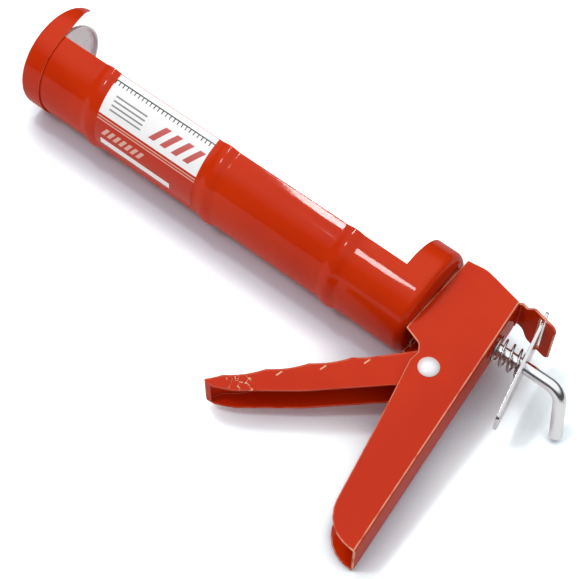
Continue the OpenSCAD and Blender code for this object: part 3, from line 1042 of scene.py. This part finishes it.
@dataclass
class Grip:
    """The handle, the trigger and the rivet between them."""

    edge: float = 0.5
    fold_z: Span = (0.70, 0.93)
    fold_x: float = 0.3
    # Painted highlight: share on the rear fold, and factor on the lower front edges.
    fold_highlight: float = 0.8
    knee_y: float = -23.0
    front_highlight: float = 0.45
    fold: float = 1.3
    trigger_edge: float = 0.25
    trigger_hw: float = 8.8
    spine_reach: float = 0.02
    spine_back: float = 1.0
    spine_lean: float = 0.7
    rivet_edge: float = 0.3

    def handle(self, finishes: Finishes) -> bpy.types.Object:
        """Builds the folded handle, with a painted highlight along its rear fold and less of it
        on its lower front edges.

        Args:
            finishes: The gun's finishes.

        Returns:
            The piece.
        """
        bm = cad_copy("handle")
        soften(bm, self.edge, 3, 40)
        rim = bm.faces.layers.float.get("rim")
        lo, hi = self.fold_z
        for face in bm.faces:
            # Painted highlight: the rear fold's faces get a set share, the lower front edges
            # less.
            if lo < abs(face.normal.z) < hi and face.normal.x > self.fold_x:
                face[rim] = self.fold_highlight
            elif face.normal.x < 0 and face.calc_center_median().y < self.knee_y:
                face[rim] *= self.front_highlight
        return finish_piece(
            "handle_shell", bm, Body.FRAME, finishes.enamel, ["handle"],
        )

    def on_spine(self, edge: Edge) -> bool:
        """True for an edge where the trigger's spine folds into a side.

        Args:
            edge: Edge of the trigger in the gun's frame.

        Returns:
            Whether it is on a fold.
        """
        finger = Vector((-math.sin(TRIGGER_TURN), math.cos(TRIGGER_TURN), 0))
        outside = all(abs(abs(v.co.z) - self.trigger_hw) < self.spine_reach for v in edge.verts)
        along = (edge.verts[0].co + edge.verts[1].co) / 2 - PIVOT
        back = along.dot(Vector((finger.y, -finger.x, 0)))
        leans = any(f.normal.dot(finger) > self.spine_lean for f in edge.link_faces)
        return outside and back < self.spine_back and leans

    def trigger(self, finishes: Finishes) -> bpy.types.Object:
        """Builds the scalloped trigger.

        Args:
            finishes: The gun's finishes.

        Returns:
            The piece.
        """
        bm = cad_copy("trigger")
        soften(bm, self.fold, 5, 40, self.on_spine)
        soften(bm, self.trigger_edge, 2, 50)
        return finish_piece(
            "trigger_channel", bm, Body.TRIGGER, finishes.creased, ["trigger"],
        )

    def rivet(self, finishes: Finishes) -> bpy.types.Object:
        """Builds the pivot rivet.

        Args:
            finishes: The gun's finishes.

        Returns:
            The piece.
        """
        bm = cad_copy("pivot_rivet")
        soften(bm, self.rivet_edge, 3, 40)
        return finish_piece(
            "trigger_rivet", bm, Body.FRAME, finishes.satin, ["pivot_rivet"],
        )

    def build(self, finishes: Finishes) -> None:
        """Builds the grip's pieces.

        Args:
            finishes: The gun's finishes.
        """
        self.handle(finishes)
        self.trigger(finishes)
        self.rivet(finishes)


# ---------- rod, plunger, plates and springs ----------


@dataclass(frozen=True)
class Coil:
    """One compression spring on the rod, whose end planes may lean."""

    start_x: float
    end_x: float
    outer_d: float
    wire_d: float
    turns: int
    lean_deg: Span = (0.0, 0.0)
    end_turn: float = 0.5
    flat_rise: float = 0.12
    wire_sides: int = 12
    turn_steps: int = 36

    def mesh(self) -> BMesh:
        """Sweeps the wire: half a flat turn, the active turns, and half a flat turn again.

        Returns:
            The closed mesh in the gun's frame.
        """
        bm = bmesh.new()
        wire_r = self.wire_d / 2
        length = self.end_x - self.start_x - self.wire_d
        seat = Matrix.Translation((self.start_x + wire_r, (self.outer_d - self.wire_d) / 2, 0))
        bmesh.ops.create_circle(bm, segments=self.wire_sides, radius=wire_r, matrix=seat)
        ring = bm.verts[:] + bm.edges[:]
        flat = self.flat_rise * self.end_turn / self.turns
        end, active = (self.end_turn, flat), (self.turns - 2 * self.end_turn, 1 - 2 * flat)
        for turns, rise in (end, active, end):
            steps = round(turns * self.turn_steps)
            swept = bmesh.ops.spin(
                bm, geom=ring, cent=(0, 0, 0), axis=(1, 0, 0),
                dvec=(rise * length / steps, 0, 0), angle=math.tau * turns, steps=steps,
                use_merge=False, use_duplicate=False,
            )
            ring = swept["geom_last"]
        bmesh.ops.holes_fill(bm, edges=[e for e in bm.edges if e.is_boundary], sides=0)
        for vert in bm.verts:
            share = (vert.co.x - self.start_x) / (self.end_x - self.start_x)
            lean = self.lean_deg[0] + (self.lean_deg[1] - self.lean_deg[0]) * share
            vert.co.x -= vert.co.y * math.tan(math.radians(lean))
        bmesh.ops.recalc_face_normals(bm, faces=bm.faces)
        return bm


@dataclass(frozen=True)
class RodBar:
    """The push rod: threaded front, plain bar, bend and hook."""

    front_x: float = 0.8
    shoulder_x: float = 7.6
    bend_x: float = 290.961
    bar_r: float = 3.0
    thread_r: float = 2.5
    thread_core_r: float = 2.15
    thread_pitch: float = 0.8
    ridge_half: float = 0.42
    ridge_root: float = 0.1
    thread_steps: int = 28
    bend_r: float = 8.0
    bend_deg: float = 75.0
    bend_steps: int = 18
    hook_len: float = 19.66
    hook_turn_deg: float = 72.0
    chamfer: float = 0.6
    sides: int = 40
    merge: float = 0.0005

    def pushed(self, bm: BMesh, edges: list[Edge], step: Vector) -> list[Edge]:
        """Extrudes a ring of edges.

        Args:
            bm: The mesh to change.
            edges: The ring's edges.
            step: How far to move the new ring.

        Returns:
            The new ring's edges.
        """
        grown = bmesh.ops.extrude_edge_only(bm, edges=edges)["geom"]
        verts = [g for g in grown if isinstance(g, bmesh.types.BMVert)]
        bmesh.ops.translate(bm, vec=step, verts=verts)
        return [g for g in grown if isinstance(g, Edge) and all(v in verts for v in g.verts)]

    def thread(self, bm: BMesh) -> None:
        """Winds the thread's ridge round the front end.

        Args:
            bm: The mesh to add to.
        """
        half = self.thread_pitch * self.ridge_half
        start, root = self.front_x + half, self.thread_core_r - self.ridge_root
        corners = ((start - half, root), (start, self.thread_r), (start + half, root))
        verts = [bm.verts.new((x, r, 0)) for x, r in corners]
        edges = [bm.edges.new((verts[i - 1], verts[i])) for i in range(3)]
        turns = (self.shoulder_x - self.front_x - 2 * half) / self.thread_pitch
        steps = round(turns * self.thread_steps)
        bmesh.ops.spin(
            bm, geom=verts + edges, cent=(0, 0, 0), axis=(1, 0, 0),
            dvec=(turns * self.thread_pitch / steps, 0, 0), angle=math.tau * turns, steps=steps,
            use_merge=False, use_duplicate=False,
        )

    def mesh(self) -> BMesh:
        """Extrudes and bends the bar, then turns the hook to its side.

        Returns:
            The closed mesh in the gun's frame.
        """
        bm = bmesh.new()
        quarter = Matrix.Rotation(math.radians(90), 4, "Y")
        seat = Matrix.Translation((self.front_x, 0, 0)) @ quarter
        bmesh.ops.create_circle(bm, segments=self.sides, radius=self.thread_core_r, matrix=seat)
        ring = self.pushed(bm, bm.edges[:], Vector((self.shoulder_x - self.front_x, 0, 0)))
        ring = self.pushed(bm, ring, Vector((0, 0, 0)))
        rim = list({v for e in ring for v in e.verts})
        wider = self.bar_r / self.thread_core_r
        bmesh.ops.transform(bm, matrix=Matrix.Diagonal((1, wider, wider, 1)), verts=rim)
        ring = self.pushed(bm, ring, Vector((self.bend_x - self.shoulder_x, 0, 0)))
        bend = math.radians(self.bend_deg)
        swept = bmesh.ops.spin(
            bm, geom=ring + list({v for e in ring for v in e.verts}),
            cent=(self.bend_x, -self.bend_r, 0), axis=(0, 0, -1), angle=bend,
            steps=self.bend_steps, use_merge=False, use_duplicate=False,
        )
        ring = [g for g in swept["geom_last"] if isinstance(g, Edge)]
        self.pushed(bm, ring, self.hook_len * Vector((math.cos(bend), -math.sin(bend), 0)))
        bmesh.ops.remove_doubles(bm, verts=bm.verts, dist=self.merge)
        bmesh.ops.holes_fill(bm, edges=[e for e in bm.edges if e.is_boundary], sides=0)
        self.thread(bm)
        bmesh.ops.holes_fill(bm, edges=[e for e in bm.edges if e.is_boundary], sides=0)
        bmesh.ops.recalc_face_normals(bm, faces=bm.faces)
        soften(bm, self.chamfer, 2, 80, lambda e: e.verts[0].co.x > self.bend_x)
        turn = Matrix.Rotation(math.radians(self.hook_turn_deg), 3, "X")
        bmesh.ops.rotate(bm, cent=(0, 0, 0), matrix=turn, verts=bm.verts)
        return bm


@dataclass
class Drive:
    """The push rod with its plunger, plates and springs."""

    edge: float = 0.2
    drive_spring: Coil = Coil(start_x=229.3, end_x=245.7, outer_d=14.0, wire_d=1.4, turns=5)
    drive_spring_keep: float = 0.466
    brake_spring: Coil = Coil(
        start_x=263.025, end_x=276.495, outer_d=12.8, wire_d=1.2, turns=4, lean_deg=(5.61, 11.8),
    )
    brake_spring_keep: float = 0.87

    def plated(self, node: str, name: str, body: Body, material: Material) -> bpy.types.Object:
        """Builds a zinc-plated piece from its CAD node with rounded edges.

        Args:
            node: The CAD node.
            name: Name of the piece.
            body: Body it rides on.
            material: Its material.

        Returns:
            The piece.
        """
        bm = cad_copy(node)
        soften(bm, self.edge, 2, 40)
        return finish_piece(name, bm, body, material, [node])

    def spring(
        self, node: str, coil: Coil, finishes: Finishes,
    ) -> bpy.types.Object:
        """Builds a spring, with a mesh of its own, on the frame.

        Args:
            node: The CAD node it stands for.
            coil: The spring's sizes.
            finishes: The gun's finishes.

        Returns:
            The piece.
        """
        piece = finish_piece(
            node + "_wire", coil.mesh(), Body.FRAME, finishes.wire, [node],
        )
        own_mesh(piece)
        return piece

    def build(self, finishes: Finishes) -> None:
        """Builds the drive's pieces.

        Args:
            finishes: The gun's finishes.
        """
        finish_piece("rod_bar", RodBar().mesh(), Body.ROD, finishes.rod, ["push_rod"])
        self.plated("plunger_disc", "disc_pressing", Body.PLUNGER, finishes.satin)
        self.plated("plunger_washer", "washer_ring", Body.PLUNGER, finishes.zinc)
        self.plated("plunger_nut", "nut_hex", Body.ROD, finishes.zinc)
        self.plated("drive_plate", "drive_bar", Body.DRIVE_PLATE, finishes.zinc)
        self.plated("release_plate", "release_lever", Body.RELEASE_PLATE, finishes.zinc)
        drive, brake = self.drive_spring, self.brake_spring
        self.spring("drive_spring", drive, finishes)
        self.spring("brake_spring", brake, finishes)


# ---------- studio ----------


@dataclass(frozen=True)
class Strip:
    """A soft rectangular lamp: where it hangs and points, its sides, its watts and its spin."""

    name: str
    place: Point
    aim: Point
    size: Span
    power: float
    spin_deg: float = 0.0

    def hang(self) -> None:
        """Hangs the lamp."""
        data = bpy.data.lights.new(self.name, "AREA")
        data.shape = "RECTANGLE"
        data.size, data.size_y = self.size
        data.energy = self.power
        lamp = bpy.data.objects.new(self.name, data)
        bpy.context.scene.collection.objects.link(lamp)
        lamp.location = self.place
        lamp.rotation_mode = "QUATERNION"
        away = (Vector(self.place) - Vector(self.aim)).to_track_quat("Z", "Y")
        lamp.rotation_quaternion = away @ Quaternion((0, 0, 1), math.radians(self.spin_deg))


@dataclass
class Studio:
    """Floor, lamps, surroundings and camera."""

    floor_size: float = 6.0
    floor_tint: Colour = (0.88, 0.88, 0.89)
    floor_seen: Colour = (1.26, 1.42, 1.46)
    # Cool grey of the painted shadow on the floor next to the gun.
    floor_painted_shadow: Colour = (0.62, 0.68, 0.77)
    floor_glow: float = 0.03
    shadow_reach: float = 0.03
    shadow_open: Span = (0.45, 0.90)
    shadow_samples: int = 16
    horizon: float = 0.08
    zenith: float = 1.15
    ceiling_rise: Span = (0.42, 0.80)
    strips: tuple[Strip, ...] = (
        Strip("overhead_strip", (-0.302, -0.072, 0.95), (0, 0, 0.03), (0.11, 0.08), 1.5, 28),
        Strip("low_strip", (-0.245, -0.49, 0.95), (0.05, 0.03, 0.05), (0.1, 0.165), 2.0),
    )
    camera_place: Point = (0.232374, -0.333529, 0.562464)
    camera_turn: tuple[float, float, float, float] = (0.8909575, 0.3105010, 0.0628743, 0.3253163)
    lens: float = 93.10
    sensor: float = 36.0
    clip: Span = (0.01, 50.0)

    def floor(self) -> None:
        """Lays the pale floor, with a painted shadow that the camera alone sees, darker where
        ambient occlusion finds the gun close.
        """
        bm = bmesh.new()
        bmesh.ops.create_grid(bm, x_segments=2, y_segments=2, size=self.floor_size / 2)
        mesh = bpy.data.meshes.new("floor")
        bm.to_mesh(mesh)
        bm.free()
        floor = bpy.data.objects.new("floor", mesh)
        bpy.context.scene.collection.objects.link(floor)
        material, kit = blank_material("floor_paper")
        seen = kit.add("ShaderNodeLightPath").outputs["Is Camera Ray"]
        # Painted shadow: for the camera, the floor darkens towards the grey where ambient
        # occlusion is strong.
        inputs = {"Distance": self.shadow_reach}
        occlusion = kit.add("ShaderNodeAmbientOcclusion", inputs, samples=self.shadow_samples)
        away = kit.spread(occlusion.outputs["AO"], *self.shadow_open)
        paper_with_shadow = kit.mix(away, self.floor_painted_shadow, self.floor_seen)
        matt = kit.add("ShaderNodeBsdfDiffuse", {"Color": kit.mix(seen, self.floor_tint, paper_with_shadow)})
        glow = kit.add(
            "ShaderNodeEmission", {"Strength": kit.math("MULTIPLY", seen, self.floor_glow)},
        )
        both = kit.add("ShaderNodeAddShader", {0: matt.outputs[0], 1: glow.outputs[0]})
        kit.add("ShaderNodeOutputMaterial", {"Surface": both.outputs[0]})
        mesh.materials.append(material)

    def surroundings(self) -> None:
        """Fills the world: a dark horizon under a bright ceiling, and white for the camera."""
        world = bpy.data.worlds.new("studio")
        bpy.context.scene.world = world
        world.use_nodes = True
        kit = NodeKit(world.node_tree)
        toward = kit.add("ShaderNodeTexCoord").outputs["Generated"]
        height = kit.add("ShaderNodeSeparateXYZ", {0: toward}).outputs[2]
        ceiling = kit.spread(height, *self.ceiling_rise, self.horizon, self.zenith)
        seen = kit.add("ShaderNodeLightPath").outputs["Is Camera Ray"]
        inputs = {0: seen, 2: ceiling, 3: 1.0}
        strength = kit.add("ShaderNodeMix", inputs, data_type="FLOAT").outputs[0]
        inputs = {"Color": (1, 1, 1, 1), "Strength": strength}
        back = kit.add("ShaderNodeBackground", inputs)
        kit.add("ShaderNodeOutputWorld", {"Surface": back.outputs[0]})

    def camera(self) -> None:
        """Sets up the camera."""
        data = bpy.data.cameras.new("camera")
        data.lens = self.lens
        data.sensor_width = self.sensor
        data.clip_start, data.clip_end = self.clip
        camera = bpy.data.objects.new("camera", data)
        bpy.context.scene.collection.objects.link(camera)
        camera.location = self.camera_place
        camera.rotation_mode = "QUATERNION"
        camera.rotation_quaternion = self.camera_turn
        bpy.context.scene.camera = camera

    def build(self) -> None:
        """Builds the studio."""
        self.floor()
        self.surroundings()
        for strip in self.strips:
            strip.hang()
        self.camera()
        bpy.context.scene.view_settings.view_transform = "Standard"


def main() -> None:
    """Builds the studio and the gun."""
    logging.basicConfig(level=logging.INFO, format="%(name)s: %(message)s")
    Studio().build()
    finishes = Finishes()
    Barrel().build(finishes)
    Grip().build(finishes)
    Drive().build(finishes)


if __name__ == "__main__":
    main()
